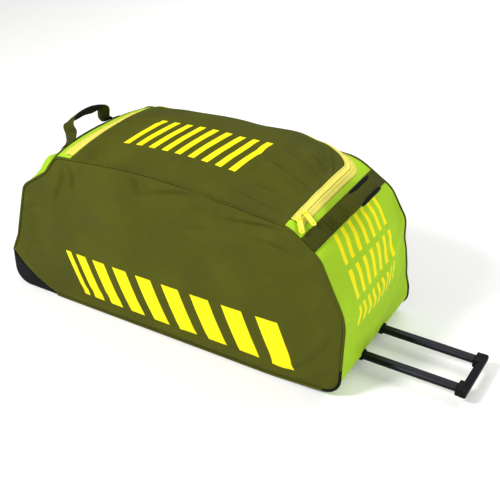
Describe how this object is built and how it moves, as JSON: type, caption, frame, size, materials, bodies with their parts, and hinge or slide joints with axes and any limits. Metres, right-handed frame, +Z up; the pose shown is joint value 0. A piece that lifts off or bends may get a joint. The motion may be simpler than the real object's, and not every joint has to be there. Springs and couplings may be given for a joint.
{
  "type": "wheeled kit bag",
  "caption": "Large soft wheeled kit bag in olive and lime with a zipped lid, grab handles and a drawn-out pull handle.",
  "frame": {"origin": "on the floor under the middle of the bag's body, in the plane of the flat base", "axes": "+X along the bag towards the pull handle, +Y across it to the far side, +Z up"},
  "size_m": [1.2135, 0.417, 0.4791],
  "materials": {
    "olive_cloth": "coated plain weave, matt",
    "lime_cloth": "coated plain weave, matt",
    "black_cloth": "coated heavy weave, matt",
    "zip_tape": "ribbed woven tape",
    "webbing": "flat woven webbing",
    "grip_pad": "padded knit",
    "zip_metal": "gloss enamel",
    "black_plastic": "moulded, fine texture",
    "tyre": "moulded rubber",
    "trolley_tube": "anodised, satin",
    "axle": "bright drawn"
  },
  "bodies": {
    "bag": {"side_panel_near": "olive_cloth", "side_panel_far": "olive_cloth", "lid_panel": "olive_cloth", "lid_border": "lime_cloth", "end_panel_handle": "lime_cloth", "end_panel_wheel": "lime_cloth", "base_panel": "black_cloth", "wheel_end_skirt": "black_cloth", "zip_tape_lid": "zip_tape", "zip_tape_frame": "zip_tape", "piping_near": "olive_cloth", "piping_far": "olive_cloth", "base_piping_near": "olive_cloth", "base_piping_far": "olive_cloth", "corner_bead_near": "black_plastic", "corner_bead_far": "black_plastic", "strap_handle_end": "webbing", "strap_wheel_end": "webbing", "grab_handle_handle_end": "webbing", "grab_handle_wheel_end": "webbing", "grip_pad_handle_end": "grip_pad", "grip_pad_wheel_end": "grip_pad", "zip_slider_a": "zip_metal", "zip_slider_b": "zip_metal", "zip_pull_a": "zip_metal", "zip_pull_b": "zip_metal", "wheel_housing_near": "black_plastic", "wheel_housing_far": "black_plastic", "axle_near": "axle", "axle_far": "axle", "trolley_sleeve_near": "black_plastic", "trolley_sleeve_far": "black_plastic"},
    "trolley": {"trolley_tube_near": "trolley_tube", "trolley_tube_far": "trolley_tube", "trolley_grip": "black_plastic"},
    "wheel_near": {"wheel_tyre_near": "tyre", "wheel_hub_near": "black_plastic"},
    "wheel_far": {"wheel_tyre_far": "tyre", "wheel_hub_far": "black_plastic"}
  },
  "joints": [
    {"name": "trolley_slide", "type": "slide", "parent": "bag", "child": "trolley", "axis": [1, 0, 0], "range_m": [-0.212, 0]},
    {"name": "wheel_near_spin", "type": "hinge", "parent": "bag", "child": "wheel_near", "pos_m": [-0.428, -0.161, 0.046], "axis": [0, 1, 0], "continuous": true},
    {"name": "wheel_far_spin", "type": "hinge", "parent": "bag", "child": "wheel_far", "pos_m": [-0.428, 0.161, 0.046], "axis": [0, 1, 0], "continuous": true}
  ]
}
